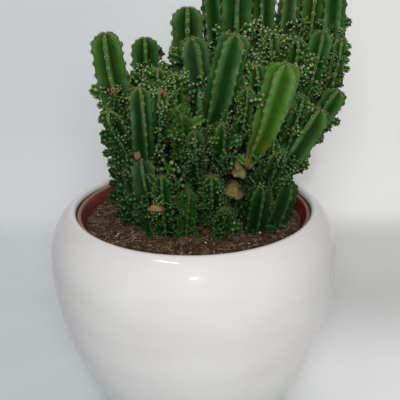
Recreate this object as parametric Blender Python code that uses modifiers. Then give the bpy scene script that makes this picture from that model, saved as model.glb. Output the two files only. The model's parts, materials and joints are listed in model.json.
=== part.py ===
"""A clustering columnar cactus in its nursery pot, standing in a round glazed cache-pot.

The origin is the centre of the cache-pot's flat base, +Z is up, -Y is the front and +X is the
side that the plant leans to. Sizes below are in millimetres; MM turns them into metres where a
shape is made.
"""
import math
from collections import namedtuple

import bmesh
import bpy
from mathutils import Vector

MM = 0.001
GAP = 0.3                       # clearance between pieces that touch

# ---------------------------------------------------------------- cache-pot
POT_HEIGHT = 123.5
POT_BASE_RADIUS = 39.5
POT_BELLY_RADIUS = 77.7
POT_BELLY_HEIGHT = 95.5
POT_MOUTH_RADIUS = 63           # inner edge of the lip
POT_WALL = 5
POT_FLOOR = 9                   # height of the inside floor
POT_FOOT_ROUND = 1.5            # rounding where the wall meets the base
POT_FLOOR_ROUND = 2             # rounding where the inside wall meets the floor
POT_SIDES = 56
# How far the curves of the profile pull towards their handles:
LIP_PULL = 0.5                  # outwards from the top of the lip
SHOULDER_PULL = 20.5            # upwards from the belly
FLANK_PULL = 33                 # downwards from the belly
FOOT_PULL = 21                  # outwards and upwards from the foot

# ---------------------------------------------------------------- nursery pot
NURSERY_TOP = 120.5
NURSERY_RIM_RADIUS = 62         # outside of the rolled rim
NURSERY_RIM_DROP = 4            # height of the rolled rim's band
NURSERY_RIM_WIDTH = 2.6
NURSERY_WALL = 1.3
NURSERY_BASE_RADIUS = 40
NURSERY_FOOT_HEIGHT = 3         # height and width of the bevel round the base
NURSERY_FOOT_WIDTH = 1
NURSERY_SIDES = 40
DRAIN_HOLES = 6
DRAIN_HOLE_RADIUS = 4.5
DRAIN_HOLE_SIDES = 16
DRAIN_CIRCLE_RADIUS = 26

# ---------------------------------------------------------------- soil
SOIL_EDGE_HEIGHT = 114.6
SOIL_CROWN_HEIGHT = 117
SOIL_CROWN_FLAT = 20            # how far the crown stays level, as a curve handle
SOIL_EDGE_PULL = (42, 115.6)    # curve handle (radius, height) where the surface meets the pot
SOIL_SIDES = 32

# ---------------------------------------------------------------- stems
VALLEY_DEPTH = 0.26             # depth of a groove between ribs, as a share of the radius
FOOT_WIDTH = 0.62               # width of a stem's foot, as a share of its full width
FOOT_LENGTH = 1.6               # length of the narrow foot, in radii
FOOT_MOST = 0.5                 # largest share of the straight stretch that the foot takes
DOME_HEIGHT = 0.85              # height of the rounded tip, in radii
DOME_ANGLES = (40, 76)          # rings on the tip, as degrees round the dome
CORE_STATIONS = (0.0, 0.5, 1.0) # rings on the straight stretch above the foot
CREASE_DEGREES = 35             # edges sharper than this stay sharp in the shading

Stem = namedtuple("Stem", "name foot tip bow radius ribs turn tint")

# Each stem runs from a foot to a tip, bowed sideways by `bow` at half its length. `turn` is the
# direction that its first rib faces, in degrees round the stem, -90 being the front. The list
# goes from the outermost columns in to the trunks: each stem makes room for those before it.
STEMS = [Stem(*row) for row in (
    # tall columns, left to right
    ("tower_left", (-34, -5, 165), (-43, -8, 219), (-1, 0, 0), 8.5, 5, -90, "leaf"),
    ("tower_left_short", (-23, 7, 176), (-24, 8, 213), (0, 0, 0), 7.5, 5, -88, "deep"),
    ("tower_middle", (-1, 12, 180), (-2, 15, 227), (0, 0, 0), 8.9, 5, -90, "deep"),
    ("tower_grey", (5, -3, 178), (0, -8, 216), (0, 0, 0), 8.0, 5, -65, "grey"),
    ("tower_tall_1", (14, 18, 186), (11, 20, 243), (0, 0, 0), 7.2, 5, -60, "deep"),
    ("tower_tall_2", (22, 7, 188), (24, 5, 256), (0, 0, 0), 8.6, 5, -90, "leaf"),
    ("tower_tall_3", (37, 12, 190), (38, 13, 248), (0, 0, 0), 6.5, 5, -110, "deep"),
    ("tower_tall_4", (47, 11, 188), (53, 10, 262), (0, 0, 0), 6.2, 5, -60, "grey"),
    ("tower_tall_5", (58, 10, 186), (63, 7, 238), (0, 0, 0), 6.0, 5, -90, "leaf"),
    ("tower_tall_6", (66, 2, 178), (72, 5, 251), (2, 0, 0), 7.2, 5, -60, "leaf"),
    ("tower_right", (58, -8, 184), (65, -10, 219), (0, 0, 0), 6.5, 5, -90, "leaf"),
    ("tower_edge", (68, 0, 178), (75, 0, 214), (1, 0, 0), 4.6, 5, -60, "deep"),
    # arms at the front
    ("arm_long", (7, -16, 160), (21, -34, 223), (0, -2, 0), 8.4, 5, -58, "leaf"),
    ("arm_bright", (28, -20, 152), (45, -35, 209), (2, -1, 0), 9.0, 5, -54, "bright"),
    ("arm_right", (42, -14, 142), (64, -20, 182), (1, 0, 0), 7.8, 5, -50, "leaf"),
    ("arm_right_high", (60, -3, 160), (75, -8, 188), (0, 0, 0), 6.4, 5, -60, "leaf"),
    ("arm_left", (-25, -18, 152), (-26, -31, 197), (0, -1, 0), 6.0, 5, -65, "deep"),
    ("arm_left_stub", (-20, -12, 104), (-26, -23, 158), (0, -2, 0), 6.4, 5, -90, "grey"),
    ("arm_low_right_1", (38, -6, 103), (49, -14, 142), (1, -1, 0), 7.0, 6, -70, "grey"),
    ("arm_low_right_2", (30, -15, 103), (35, -25, 143), (0, -1, 0), 6.4, 6, -80, "deep"),
    # short stems that crowd the front
    ("stub_front_1", (-4, -12, 156), (-5, -36, 185), (0, -3, 0), 5.8, 5, -90, "bright"),
    ("stub_front_2", (3, -12, 144), (1, -34, 176), (0, -4, 0), 5.4, 5, -90, "grey"),
    ("stub_front_3", (12, -12, 148), (15, -35, 180), (0, -4, 0), 5.4, 5, -70, "leaf"),
    ("stub_front_4", (-18, -8, 160), (-16, -27, 195), (1, -3, 0), 5.8, 5, -90, "leaf"),
    ("stub_front_5", (24, -8, 160), (27, -30, 196), (0, -3, 0), 5.2, 5, -90, "leaf"),
    ("stub_front_6", (34, -10, 182), (31, -24, 206), (0, -2, 0), 5.6, 5, -80, "leaf"),
    ("stub_front_7", (40, -4, 188), (39, -14, 219), (0, -1, 0), 5.8, 5, -90, "leaf"),
    ("stub_front_8", (51, -2, 182), (52, -17, 217), (0, -2, 0), 5.8, 5, -90, "leaf"),
    ("stub_front_9", (-6, -10, 170), (-9, -20, 201), (0, -1, 0), 5.4, 5, -90, "leaf"),
    ("stub_front_10", (-17, -2, 172), (-17, -9, 201), (0, 0, 0), 5.4, 5, -90, "leaf"),
    ("stub_front_11", (47, -12, 158), (55, -22, 190), (0, -2, 0), 5.4, 5, -90, "leaf"),
    ("stub_front_12", (33, -11, 128), (43, -28, 162), (0, -3, 0), 6.2, 6, -90, "deep"),
    ("stub_front_13", (10, -12, 120), (9, -33, 152), (0, -3, 0), 6.2, 6, -90, "deep"),
    ("stub_left", (-28, -6, 148), (-41, -13, 184), (-2, 0, 0), 7.0, 5, -100, "deep"),
    ("stub_left_low", (-27, -2, 140), (-42, -4, 166), (-2, 0, 0), 6.6, 5, -100, "deep"),
    # short stems that rise from the soil
    ("shoot_front_1", (-5, -18, 104), (-2, -31, 143), (0, -2, 0), 5.8, 5, -90, "bright"),
    ("shoot_front_2", (-14, -17, 104), (-16, -27, 150), (0, -2, 0), 6.6, 6, -90, "deep"),
    ("shoot_front_3", (12, -18, 104), (16, -31, 134), (0, -2, 0), 6.2, 6, -90, "leaf"),
    ("shoot_left", (-30, 2, 104), (-37, 6, 142), (-1, 0, 0), 6.8, 6, -90, "deep"),
    ("shoot_right", (41, 6, 104), (47, 9, 138), (1, 0, 0), 6.2, 6, -90, "deep"),
    ("shoot_back_1", (-12, 34, 104), (-16, 40, 152), (0, 1, 0), 6.6, 6, 90, "leaf"),
    ("shoot_back_2", (14, 36, 104), (18, 45, 158), (0, 2, 0), 6.8, 6, 90, "deep"),
    ("shoot_back_3", (38, 26, 104), (47, 34, 150), (1, 1, 0), 6.6, 6, 90, "leaf"),
    # columns at the back
    ("column_back_1", (-24, 20, 160), (-31, 27, 188), (0, 1, 0), 6.6, 5, 90, "leaf"),
    ("column_back_2", (-8, 26, 168), (-12, 34, 190), (0, 1, 0), 6.4, 5, 90, "deep"),
    ("column_back_3", (12, 30, 164), (15, 42, 218), (0, 1, 0), 7.4, 5, 90, "leaf"),
    ("column_back_4", (32, 28, 164), (35, 40, 226), (0, 1, 0), 7.8, 5, 90, "bright"),
    ("column_back_5", (50, 22, 158), (60, 33, 212), (1, 1, 0), 7.4, 5, 60, "deep"),
    # trunks
    ("trunk_left", (-21, -2, 102), (-27, -4, 182), (-5, 0, 0), 12.0, 7, -90, "deep"),
    ("trunk_centre", (4, -2, 102), (4, -2, 194), (0, 0, 0), 13.0, 7, -90, "deep"),
    ("trunk_right", (28, 1, 102), (42, -1, 196), (0, 0, 0), 13.0, 7, -90, "deep"),
    ("trunk_outer", (39, 6, 102), (62, 5, 186), (-5, 0, 0), 9.6, 7, -60, "deep"),
    ("trunk_back_left", (-12, 20, 102), (-18, 18, 184), (0, 0, 0), 12.0, 7, 90, "deep"),
    ("trunk_back_middle", (10, 24, 102), (12, 22, 196), (0, 0, 0), 12.0, 7, 90, "deep"),
    ("trunk_back_right", (30, 20, 102), (40, 22, 196), (0, 0, 0), 12.0, 7, 90, "deep"),
)]

# ---------------------------------------------------------------- colours
FINISHES = {
    # name: (colour, roughness)
    "glaze": ((0.80, 0.78, 0.74), 0.12),
    "terracotta_plastic": ((0.24, 0.05, 0.02), 0.45),
    "peat": ((0.07, 0.04, 0.025), 0.95),
    "leaf": ((0.05, 0.14, 0.03), 0.5),
    "deep": ((0.02, 0.07, 0.02), 0.55),
    "grey": ((0.07, 0.13, 0.06), 0.6),
    "bright": ((0.11, 0.22, 0.04), 0.45),
}


def clear_scene():
    for item in list(bpy.data.objects):
        bpy.data.objects.remove(item)


def new_collection(name):
    collection = bpy.data.collections.new(name)
    bpy.context.scene.collection.children.link(collection)
    return collection


def new_material(name, finish):
    colour, roughness = FINISHES[finish]
    material = bpy.data.materials.new(name)
    material.use_nodes = True
    shader = material.node_tree.nodes["Principled BSDF"]
    shader.inputs["Base Color"].default_value = (*colour, 1)
    shader.inputs["Roughness"].default_value = roughness
    shader.inputs["Metallic"].default_value = 0
    return material


def new_object(name, mesh, collection, finish=None):
    piece = bpy.data.objects.new(name, mesh)
    collection.objects.link(piece)
    if finish:
        mesh.materials.append(new_material(name + "_finish", finish))
    return piece


def smooth(mesh, crease_degrees):
    mesh.shade_smooth()
    mesh.set_sharp_from_angle(angle=math.radians(crease_degrees))


def evaluated_mesh(piece):
    """The mesh that a piece's modifiers give, with the modifiers then dropped from the piece."""
    graph = bpy.context.evaluated_depsgraph_get()
    mesh = bpy.data.meshes.new_from_object(piece.evaluated_get(graph))
    piece.modifiers.clear()
    return mesh


# ---------------------------------------------------------------- turned pieces
def bezier(start, start_handle, end_handle, end, count):
    """`count` points along a Bezier curve, leaving out its start."""
    points = []
    for step in range(1, count + 1):
        t = step / count
        s = 1 - t
        weights = (s ** 3, 3 * s * s * t, 3 * s * t * t, t ** 3)
        corners = (start, start_handle, end_handle, end)
        points.append(tuple(sum(w * c[axis] for w, c in zip(weights, corners)) for axis in (0, 1)))
    return points


def arc(centre, radius, start_degrees, end_degrees, count):
    points = []
    for step in range(count + 1):
        angle = math.radians(start_degrees + (end_degrees - start_degrees) * step / count)
        points.append((centre[0] + radius * math.cos(angle), centre[1] + radius * math.sin(angle)))
    return points


def inward_offset(points, distance):
    """A curve that runs `distance` inside another, for the inner face of a wall."""
    offset = []
    for before, here, after in zip(points, points[1:], points[2:]):
        along = Vector(after) - Vector(before)
        normal = Vector((along.y, -along.x)).normalized()
        offset.append((here[0] + normal.x * distance, here[1] + normal.y * distance))
    return offset


def turned(name, profile, sides, collection, finish):
    """A solid turned about Z from (radius, height) points, its outer side going downwards."""
    mesh = bpy.data.meshes.new(name)
    points = [(radius * MM, 0, height * MM) for radius, height in profile]
    mesh.from_pydata(points, [(i, i + 1) for i in range(len(points) - 1)], [])
    piece = new_object(name, mesh, collection, finish)
    screw = piece.modifiers.new("turn", "SCREW")
    screw.axis = "Z"
    screw.angle = math.tau
    screw.steps = sides
    screw.render_steps = sides
    screw.use_merge_vertices = True
    screw.merge_threshold = 0.00001
    screw.use_smooth_shade = True
    return piece


def cache_pot_profile():
    lip = POT_WALL / 2
    lip_centre = (POT_MOUTH_RADIUS + lip, POT_HEIGHT - lip)
    lip_round = arc(lip_centre, lip, 270, 90, 4)
    belly = (POT_BELLY_RADIUS, POT_BELLY_HEIGHT)
    shoulder_top = lip_round[-1]
    shoulder = bezier(shoulder_top, (shoulder_top[0] + LIP_PULL, POT_HEIGHT),
                      (belly[0], belly[1] + SHOULDER_PULL), belly, 6)
    foot = (POT_BASE_RADIUS + POT_FOOT_ROUND, POT_FOOT_ROUND)
    flank = bezier(belly, (belly[0], belly[1] - FLANK_PULL),
                   (foot[0] + FOOT_PULL, foot[1] + FOOT_PULL), foot, 9)
    outside = shoulder + flank
    inside = [point for point in inward_offset(outside, POT_WALL)
              if POT_FLOOR < point[1] < POT_HEIGHT - POT_WALL]
    floor_edge = (inside[-1][0] - POT_FLOOR_ROUND, POT_FLOOR)
    return ([(0, POT_FLOOR), floor_edge] + inside[::-1] + lip_round + outside
            + [(POT_BASE_RADIUS, 0), (0, 0)])


def nursery_wall_radius(height):
    """Outer radius of the nursery pot's straight wall at a height."""
    top = NURSERY_RIM_RADIUS - NURSERY_RIM_WIDTH + NURSERY_WALL
    share = (height - nursery_bottom()) / (NURSERY_TOP - nursery_bottom())
    return NURSERY_BASE_RADIUS + (top - NURSERY_BASE_RADIUS) * share


def nursery_bottom():
    return POT_FLOOR + GAP


def nursery_pot_profile():
    bottom = nursery_bottom()
    floor = bottom + NURSERY_WALL
    band_bottom = NURSERY_TOP - NURSERY_RIM_DROP
    roll = NURSERY_RIM_WIDTH / 2
    roll_centre = (NURSERY_RIM_RADIUS - roll, NURSERY_TOP - roll)
    return ([(0, floor), (nursery_wall_radius(floor) - NURSERY_WALL, floor),
             (nursery_wall_radius(band_bottom) - NURSERY_WALL, band_bottom)]
            + arc(roll_centre, roll, 180, 0, 4)
            + [(NURSERY_RIM_RADIUS, band_bottom), (nursery_wall_radius(band_bottom), band_bottom),
               (nursery_wall_radius(bottom + NURSERY_FOOT_HEIGHT), bottom + NURSERY_FOOT_HEIGHT),
               (NURSERY_BASE_RADIUS - NURSERY_FOOT_WIDTH, bottom), (0, bottom)])


def soil_profile():
    bottom = nursery_bottom() + NURSERY_WALL + GAP

    def edge(height):
        return nursery_wall_radius(height) - NURSERY_WALL - GAP

    rim = (edge(SOIL_EDGE_HEIGHT), SOIL_EDGE_HEIGHT)
    crown = (0, SOIL_CROWN_HEIGHT)
    surface = bezier(crown, (SOIL_CROWN_FLAT, SOIL_CROWN_HEIGHT), SOIL_EDGE_PULL, rim, 4)
    return [crown] + surface + [(edge(bottom), bottom), (0, bottom)]


def build_pots(parts, cutters):
    turned("cache_pot", cache_pot_profile(), POT_SIDES, parts, "glaze")
    nursery = turned("nursery_pot", nursery_pot_profile(), NURSERY_SIDES, parts,
                     "terracotta_plastic")
    for index in range(DRAIN_HOLES):
        angle = math.tau * index / DRAIN_HOLES
        bm = bmesh.new()
        bmesh.ops.create_cone(bm, cap_ends=True, segments=DRAIN_HOLE_SIDES,
                              radius1=DRAIN_HOLE_RADIUS * MM, radius2=DRAIN_HOLE_RADIUS * MM,
                              depth=4 * NURSERY_WALL * MM)
        mesh = bpy.data.meshes.new("drain_hole")
        bm.to_mesh(mesh)
        bm.free()
        hole = new_cutter(f"drain_hole_{index + 1}", mesh, cutters)
        hole.location = (DRAIN_CIRCLE_RADIUS * math.cos(angle) * MM,
                         DRAIN_CIRCLE_RADIUS * math.sin(angle) * MM,
                         (nursery_bottom() + NURSERY_WALL / 2) * MM)
        subtract(nursery, hole)


# ---------------------------------------------------------------- cutting
def new_cutter(name, mesh, cutters):
    piece = new_object(name, mesh, cutters)
    piece.hide_render = True
    piece.display_type = "WIRE"
    return piece


def subtract(piece, cutter):
    boolean = piece.modifiers.new("clear_" + cutter.name, "BOOLEAN")
    boolean.operation = "DIFFERENCE"
    boolean.solver = "EXACT"
    boolean.object = cutter


def drop_offcuts(mesh):
    """Keep only the largest of the separate bodies that a cut left."""
    bm = bmesh.new()
    bm.from_mesh(mesh)
    unseen = set(bm.verts)
    bodies = []
    while unseen:
        body = {unseen.pop()}
        front = list(body)
        while front:
            vert = front.pop()
            near = {edge.other_vert(vert) for edge in vert.link_edges} - body
            body |= near
            front.extend(near)
        unseen -= body
        bodies.append(body)
    largest = max(bodies, key=len)
    offcuts = [vert for vert in bm.verts if vert not in largest]
    bmesh.ops.delete(bm, geom=offcuts, context="VERTS")
    bm.to_mesh(mesh)
    bm.free()


# ---------------------------------------------------------------- stems
def stem_axis(stem, share):
    """Point and direction of a stem's centre line, at a share of its length from the foot."""
    foot = Vector(stem.foot)
    tip = Vector(stem.tip)
    middle = (foot + tip) / 2 + 2 * Vector(stem.bow)
    rest = 1 - share
    point = rest * rest * foot + 2 * share * rest * middle + share * share * tip
    direction = 2 * rest * (middle - foot) + 2 * share * (tip - middle)
    return point, direction.normalized()


def stem_outline(stem):
    """(distance from the foot, radius) of each ring of a stem, up to its rounded tip."""
    length = (Vector(stem.tip) - Vector(stem.foot)).length
    dome = DOME_HEIGHT * stem.radius
    foot = min(FOOT_LENGTH * stem.radius, FOOT_MOST * (length - dome))
    outline = [(0, FOOT_WIDTH * stem.radius)]
    for share in CORE_STATIONS:
        outline.append((foot + share * (length - dome - foot), stem.radius))
    for degrees in DOME_ANGLES:
        angle = math.radians(degrees)
        outline.append((length - dome + dome * math.sin(angle), stem.radius * math.cos(angle)))
    return length, outline


def stem_mesh(stem, grow=0):
    """A ribbed column, extruded ring by ring from a cone; `grow` makes it larger all round."""
    length, outline = stem_outline(stem)
    count = 2 * stem.ribs
    rings = []
    for index, (distance, radius) in enumerate(outline):
        point, along = stem_axis(stem, distance / length)
        if index == 0:
            point = point - grow * along
        elif index == len(outline) - 1:
            point = point + grow * along
        across = (Vector((1, 0, 0)) - along.x * along).normalized()
        beside = along.cross(across)
        ring = []
        for corner in range(count):
            angle = math.radians(stem.turn) + math.tau * corner / count
            reach = radius * (1 if corner % 2 == 0 else 1 - VALLEY_DEPTH) + grow
            ring.append((point + reach * (math.cos(angle) * across + math.sin(angle) * beside)) * MM)
        rings.append(ring)

    bm = bmesh.new()
    bmesh.ops.create_cone(bm, cap_ends=True, segments=count, radius1=MM, radius2=MM, depth=MM)
    top = max(bm.faces, key=lambda face: face.normal.z)
    for corner, loop in enumerate(top.loops):
        below = next(edge.other_vert(loop.vert) for edge in loop.vert.link_edges
                     if edge.other_vert(loop.vert) not in top.verts[:])
        below.co = rings[0][corner]
        loop.vert.co = rings[1][corner]
    for ring in rings[2:]:
        top = bmesh.ops.extrude_discrete_faces(bm, faces=[top])["faces"][0]
        for loop, place in zip(top.loops, ring):
            loop.vert.co = place
    bmesh.ops.recalc_face_normals(bm, faces=bm.faces)
    mesh = bpy.data.meshes.new(stem.name)
    bm.to_mesh(mesh)
    bm.free()
    return mesh


def corners(mesh):
    low = Vector([min(vert.co[axis] for vert in mesh.vertices) for axis in range(3)])
    high = Vector([max(vert.co[axis] for vert in mesh.vertices) for axis in range(3)])
    return low, high


def boxes_meet(first, second):
    return all(first[0][axis] < second[1][axis] and second[0][axis] < first[1][axis]
               for axis in range(3))


def build_stems(parts, cutters):
    """The stems in list order, each cut back where an earlier one passes through it."""
    earlier = []
    for stem in STEMS:
        piece = new_object(stem.name, stem_mesh(stem), parts, stem.tint)
        box = corners(piece.data)
        for cutter in earlier:
            if boxes_meet(box, corners(cutter.data)):
                subtract(piece, cutter)
        if piece.modifiers:
            piece.data = evaluated_mesh(piece)
            drop_offcuts(piece.data)
        smooth(piece.data, CREASE_DEGREES)
        earlier.append(new_cutter(stem.name + "_room", stem_mesh(stem, GAP), cutters))
    return earlier


def build_soil(parts, stem_rooms):
    """The soil, with a pocket round the foot of each rooted stem."""
    soil = turned("soil", soil_profile(), SOIL_SIDES, parts, "peat")
    for room in stem_rooms:
        if corners(room.data)[0].z < SOIL_CROWN_HEIGHT * MM:
            subtract(soil, room)


def main():
    clear_scene()
    parts = new_collection("potted_columnar_cactus")
    cutters = new_collection("cutters")
    build_pots(parts, cutters)
    stem_rooms = build_stems(parts, cutters)
    build_soil(parts, stem_rooms)


main()
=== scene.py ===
"""Looks of a clustering columnar cactus in its nursery pot and its round glazed cachepot.

Every CAD stem is measured and replaced by one of the same place and size with fluted ribs, woolly
areoles, spines and small offsets. The pots and the soil are replaced by finer shapes that follow
their CAD outlines. Sizes are in millimetres, which MM turns into metres, and colours in sRGB.
"""
import json
import math
from collections import defaultdict, namedtuple
from functools import reduce

import bpy
import numpy as np
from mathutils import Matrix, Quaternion, Vector
from mathutils.bvhtree import BVHTree


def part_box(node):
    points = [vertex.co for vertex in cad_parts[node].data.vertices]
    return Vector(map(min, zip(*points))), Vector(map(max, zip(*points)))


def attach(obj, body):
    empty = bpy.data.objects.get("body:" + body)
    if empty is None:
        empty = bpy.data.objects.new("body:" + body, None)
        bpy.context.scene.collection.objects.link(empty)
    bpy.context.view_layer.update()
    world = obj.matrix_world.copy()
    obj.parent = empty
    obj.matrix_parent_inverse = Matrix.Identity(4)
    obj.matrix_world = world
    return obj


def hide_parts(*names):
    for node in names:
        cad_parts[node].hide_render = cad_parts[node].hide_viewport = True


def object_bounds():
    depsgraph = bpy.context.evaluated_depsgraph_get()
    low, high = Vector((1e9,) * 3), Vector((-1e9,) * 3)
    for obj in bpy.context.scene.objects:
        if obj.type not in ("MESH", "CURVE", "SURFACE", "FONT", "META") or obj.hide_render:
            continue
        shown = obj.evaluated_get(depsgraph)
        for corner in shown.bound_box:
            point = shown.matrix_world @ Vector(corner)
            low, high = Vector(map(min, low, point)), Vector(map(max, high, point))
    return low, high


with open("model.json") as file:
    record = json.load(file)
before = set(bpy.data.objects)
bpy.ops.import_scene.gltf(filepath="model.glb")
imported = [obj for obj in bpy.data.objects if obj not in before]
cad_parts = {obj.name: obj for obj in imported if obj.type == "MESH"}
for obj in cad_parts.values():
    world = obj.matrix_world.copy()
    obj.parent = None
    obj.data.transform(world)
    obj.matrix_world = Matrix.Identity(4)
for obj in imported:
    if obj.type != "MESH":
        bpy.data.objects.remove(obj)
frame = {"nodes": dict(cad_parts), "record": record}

CAD_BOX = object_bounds()
SLOTS = {part["node"]: part["material_slot"] for part in frame["record"]["subparts"]}
SCENE = bpy.context.scene
MM = 0.001
SEED = 11
UP = np.array((0.0, 0.0, 1.0))

# ------------ ribs and tips
PROBES = np.linspace(0.2, 0.78, 9)  # where CAD stems are measured, as shares of their length
VALLEY_DEPTH = {4: 0.52, 5: 0.56, 6: 0.42, 7: 0.32}  # by ribs, as a share of the radius
CREST_WIDTH = 0.11  # half the width of a rib's rounded edge, as a share of the radius
FACE_BULGE = 0.02  # how far a rib's flat sides bow out, as a share of the radius
DOME_HEIGHT = 0.8  # height of a rounded tip, in radii
BLUNT = dict(arm_long=0.5, tower_right=0.55, arm_bright=0.7)  # the same for blunter tips
FOOT_LENGTH = 1.6  # length of the narrow foot, in radii
FOOT_WIDTH = 0.62  # width of the foot, as a share of the full width
# stems that taper to their foot instead: the share of the length that tapers and the foot's width
TAPER = dict(arm_long=(0.75, 0.42), arm_bright=(0.8, 0.25), tower_middle=(0.6, 0.5),
             arm_right=(0.7, 0.5), arm_right_high=(0.7, 0.5))
RIB_WANDER = 1.8  # how far ribs stray sideways, in degrees

# ------------ areoles
# In the pairs, True is for the CAD model's stems and False for small growths.
CREST_BUMP = {True: 0.05, False: 0.2}  # how far a rib swells at each areole, in radii
BUMP_REACH = {True: 0.15, False: 0.3}  # half the length of that swelling, in radii
TIP_PITCH = {True: 0.2, False: 0.6}  # distance between areoles at a tip, in radii
PITCH_GROWS_OVER = 1.5  # distance from the tip where the pitch is full, in radii
AREOLE_RADIUS = {True: 1.22, False: 1.65}  # on a column; it shrinks with the root of its radius
AREOLE_STEM = 8.0  # radius of the column that it is given for
BARE_AFTER, BARE_ARM = 12.0, 0.72  # past this path from its tip an arm's areoles are smaller
YOUNG = 55.0  # distance from the tip over which the skin ages
DARKEST_BELOW, BRIGHTEST_ABOVE = 118, 205  # between these heights skin and wool get brighter: younger skin, and less painted shade of the crowded clump near the soil
DARKEST_TONE, BRIGHTEST_TONE = -1.3, 0.1  # their tones at these heights

# ------------ kinds of stem
# width: the skin's, as a share of the CAD stem's; pitch: between areoles; step: between rings;
# spacing: between the offsets on it; small, large: the least and greatest radius of these.
Kind = namedtuple("Kind", "width pitch step spacing small large")
KINDS = dict(
    tower=Kind(0.95, 5.7, 1.1, 4.9, 1.8, 3.3),
    arm=Kind(0.98, 5.7, 1.1, 4.9, 1.8, 3.3),
    column=Kind(0.95, 5.7, 1.5, 5.0, 1.8, 3.3),
    stub=Kind(0.80, 4.2, 1.8, 4.5, 1.6, 3.1),
    shoot=Kind(0.80, 4.2, 1.8, 4.5, 1.6, 3.1),
    trunk=Kind(0.82, 9.0, 3.6, 5.8, 2.4, 4.0),
)
OFFSET = Kind(1.0, 2.95, 1.3, 0, 0, 0)
KNOB = OFFSET._replace(pitch=3.2)
OFFSET_RADIUS = 2.5  # of the models that the offsets are copied from
OVERHANG = 3.0  # how far offsets may stand out beyond the CAD shape, towards +X
BACK_SPREAD = 0.25  # how much further apart, and larger, the offsets at the back are
WOOLLY = (0.1, 0.9)  # the shares of woolly offsets at the lower and the upper of those heights
# share of a stem's length, from its foot, that offsets hide; other stems are covered
BEARING = dict(
    tower_left=0.5, tower_left_short=0.6, tower_middle=0.5, tower_grey=0.42, tower_tall_1=0.36,
    tower_tall_2=0.43, tower_tall_3=0.46, tower_tall_4=0.45, tower_tall_5=0.68, tower_tall_6=0.55,
    tower_right=0.6, tower_edge=0.9, arm_long=0.26, arm_bright=0.18, arm_right=0.38,
    arm_right_high=0.5, arm_left=0.14, arm_left_stub=0.66, arm_low_right_1=0.4, arm_low_right_2=0.4,
    column_back_1=0.7, column_back_2=0.7, column_back_3=0.55, column_back_4=0.5, column_back_5=0.6)
# stems whose skin and offsets are duller than their neighbours', and by how much
DULLER = dict(shoot_front_1=0.8, stub_front_1=0.5)
# stems at the plant's outline, whose offsets are smaller, and by how much
SLIM = dict(tower_edge=0.65, tower_tall_6=0.65, tower_left=0.8, tower_middle=0.75)

# ------------ marks and side growths
CORK, SCAR = 1, 2  # marks for corky bark and for a pink scar
# marked places: the stem, the place, its radius and the mark
MARKS = (
    ("arm_bright", (25, -24, 154), 6.5, CORK),
    ("arm_left", (-28, -26, 160), 2.9, SCAR),
)
# short side growths: the stem that bears them, foot, tip and radius
KNOBS = (
    ("tower_left", (-43, -7, 187), (-51.5, -8, 191), 3.2),
    ("tower_middle", (-3, 6, 201), (-11.5, 4, 205), 3.3),
    ("trunk_outer", (49, -11, 149), (59.5, -12, 152), 3.4),
    ("trunk_back_left", (-11, 8, 144), (-13, -17, 151), 5.5),
    ("trunk_back_left", (-9, 8, 138), (-8, -17, 142), 5.0),
    ("trunk_right", (23, 4, 152), (20, -14, 156), 5.0),
    ("trunk_right", (22, 3, 168), (22.5, -14, 175.5), 5.6),
    ("tower_tall_3", (34, 9, 196), (34, -8, 204), 5.0),
    ("column_back_5", (59, 32, 206), (58, 35, 227), 5.0),
    ("trunk_right", (21, 2, 178), (20, -12, 184), 5.0),
    ("tower_left_short", (-24, 6, 183), (-31.5, -1, 196), 4.0),
    ("trunk_right", (25, 3, 141), (20, -4, 150), 4.5),
)
# broken off corky stumps: the stem that bears them, foot, tip, radius, how much wider than high
# and mark
STUMPS = (
    ("trunk_right", (21, -1, 133), (20.5, -20, 137.5), 4.3, 1.25, CORK),
    ("trunk_right", (25, -2, 145), (23, -20, 150), 5.0, 0.62, CORK),
    ("shoot_front_2", (-18, -27, 133), (-19.5, -36, 136), 2.0, 1.9, 1.28),
)
# the stems that carry withered orange flower remains, and where
WITHERED = (("stub_front_4", (-14, -29.5, 194)), ("tower_left", (-39.5, -15.5, 191)))
IN_FRONT = np.array((0, -3, 1))  # offsets keep clear this far in front of a mark
# the places that offsets keep clear of, and how far
KEEP_CLEAR = ([(place, 4) for _, place in WITHERED]
              + [(place + IN_FRONT, radius + 1.5) for _, place, radius, _ in MARKS]
              + [(tip, radius + 0.8) for _, _, tip, radius, _, _ in STUMPS])

Stem = namedtuple("Stem", "name kind foot middle tip radius ribs turn fine")
SKIN, WOOL, SPINE = range(3)  # material slots of a stem


def rows_of(table, name):
    """What a table of marks or growths says about one stem."""
    return [row[1:] for row in table if row[0] == name]


# ------------ meshes
def unit(vectors):
    return vectors / np.linalg.norm(vectors, axis=-1, keepdims=True)


def turns(count):
    """Even angles round a circle."""
    return math.tau * np.arange(count) / count


def around(radius, angle, height=0.0):
    """Points round the Z axis."""
    return np.stack(np.broadcast_arrays(radius * np.cos(angle), radius * np.sin(angle), height), -1)


def tube_faces(rings, sides):
    """Quads between rings of points that are stored ring after ring."""
    ring = np.arange((rings - 1) * sides).reshape(-1, sides)
    after = np.roll(ring, -1, 1)
    return np.stack([ring, after, after + sides, ring + sides], -1).reshape(-1, 4)


def fan_faces(first, sides, centre):
    """Triangles from a ring of points to a point at its centre, facing along the tube."""
    ring = first + np.arange(sides)
    return np.stack([ring, np.roll(ring, -1), np.full(sides, centre)], -1)


def closed_tube(points, last, first, inward=False):
    """Points and faces of a tube of points (rings, sides, 3), whose last and first ring are closed
    by a point each. Its faces are turned round where they would face inward."""
    rings, sides = points.shape[:2]
    count = rings * sides
    faces = [tube_faces(rings, sides), fan_faces(count - sides, sides, count),
             fan_faces(0, sides, count + 1)[:, ::-1]]
    if inward:
        faces = [block[:, ::-1] for block in faces]
    return np.vstack([points.reshape(-1, 3), last, first]), faces


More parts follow.
